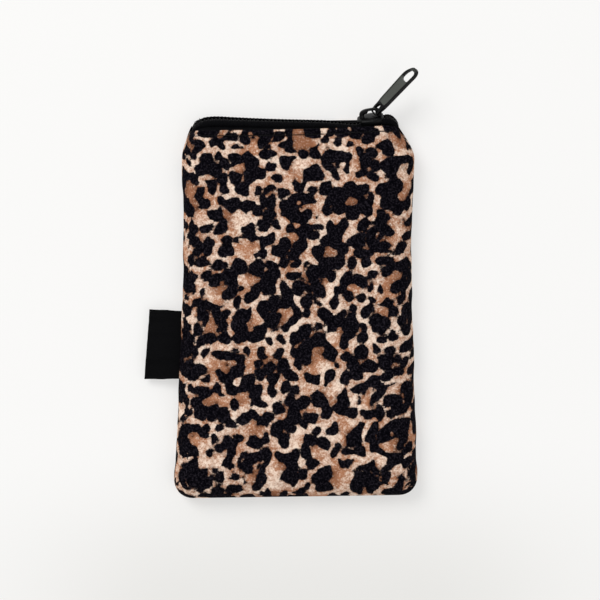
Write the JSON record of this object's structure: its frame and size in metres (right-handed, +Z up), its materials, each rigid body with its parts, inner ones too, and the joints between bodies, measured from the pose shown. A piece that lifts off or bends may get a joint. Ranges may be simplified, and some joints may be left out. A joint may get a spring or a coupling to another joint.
{
  "type": "glasses case",
  "caption": "Soft padded glasses pouch in a spotted print, closed along one end by a zip with a long pull tab, with a folded ribbon label in its side seam.",
  "frame": {"origin": "middle of the flat back that the pouch lies on", "axes": "+X along the zip to its closed end, +Y from the bottom of the pouch to the zip, +Z up out of the front panel"},
  "size_m": [0.1239, 0.1923, 0.0189],
  "materials": {
    "print_fabric": "spotted print on soft knit, matt",
    "foam": "open foam",
    "lining": "plain woven lining",
    "thread": "spun thread",
    "zip_tape": "woven tape, matt",
    "zip_coil": "nylon coil, satin",
    "slider_paint": "black paint, satin",
    "ribbon": "satin ribbon"
  },
  "bodies": {
    "pouch": {"outer_front_panel": "print_fabric", "outer_back_panel": "print_fabric", "front_foam": "foam", "back_foam": "foam", "front_lining": "lining", "back_lining": "lining", "front_topstitch": "thread", "back_topstitch": "thread", "side_label": "ribbon", "front_tape": "zip_tape", "back_tape": "zip_tape", "front_coil_left": "zip_coil", "front_coil_right": "zip_coil", "back_coil_left": "zip_coil", "back_coil_right": "zip_coil", "left_bartack": "thread", "right_bartack": "thread"},
    "front_lip": {"front_lip_tape": "zip_tape", "front_lip_coil": "zip_coil"},
    "back_lip": {"back_lip_tape": "zip_tape", "back_lip_coil": "zip_coil"},
    "slider": {"slider_body": "slider_paint", "slider_bridge": "slider_paint"},
    "pull": {"pull_tab": "slider_paint"}
  },
  "joints": [
    {"name": "slider_travel", "type": "slide", "parent": "pouch", "child": "slider", "axis": [1, 0, 0], "range_m": [-0.0698, 0]},
    {"name": "pull_swing", "type": "hinge", "parent": "slider", "child": "pull", "pos_m": [0.0361, 0.08856, 0.00969], "axis": [0, -0.4226, 0.9063], "range_deg": [-25, 85]},
    {"name": "front_lip_fold", "type": "hinge", "parent": "pouch", "child": "front_lip", "pos_m": [0, 0.08098, 0.01329], "axis": [1, 0, 0], "range_deg": [0, 60]},
    {"name": "back_lip_fold", "type": "hinge", "parent": "pouch", "child": "back_lip", "pos_m": [0, 0.08611, 0.0023], "axis": [-1, 0, 0], "range_deg": [0, 78]}
  ]
}
